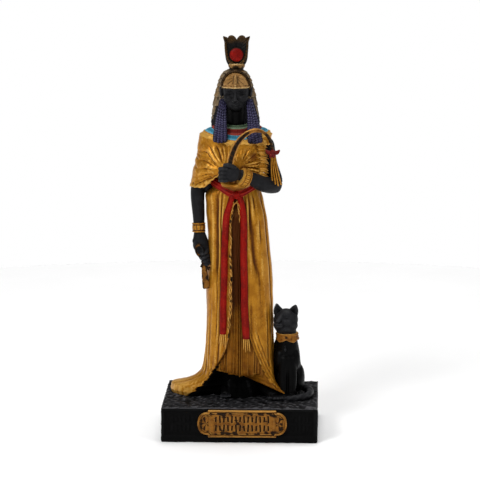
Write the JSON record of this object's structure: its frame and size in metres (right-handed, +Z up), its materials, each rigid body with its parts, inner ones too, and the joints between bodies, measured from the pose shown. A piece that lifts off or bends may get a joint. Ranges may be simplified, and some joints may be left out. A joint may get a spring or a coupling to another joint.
{
  "type": "maat statue",
  "caption": "Small painted resin statuette of a standing Egyptian goddess with flail, ankh and seated cat on a block plinth with a plate of shallow strokes.",
  "frame": {"origin": "centre of the plinth's underside", "axes": "+Z up, the figure faces -Y, +X is to the right as seen from the front"},
  "size_m": [0.035, 0.0278, 0.0899],
  "materials": {
    "plinth_paint": "satin black paint over cast resin, with a stone-like top",
    "figure_gold": "antique gold paint over a dark brown wash, brushed bright on the ridges",
    "skin_black": "satin black paint",
    "sash_red": "deep red paint with dark edges",
    "collar_paint": "green, red and blue bead rows in satin paint",
    "hair_indigo": "dark blue-violet paint on braids"
  },
  "bodies": {
    "root": {"plinth": "plinth_paint", "figure": "figure_gold"}
  },
  "joints": []
}
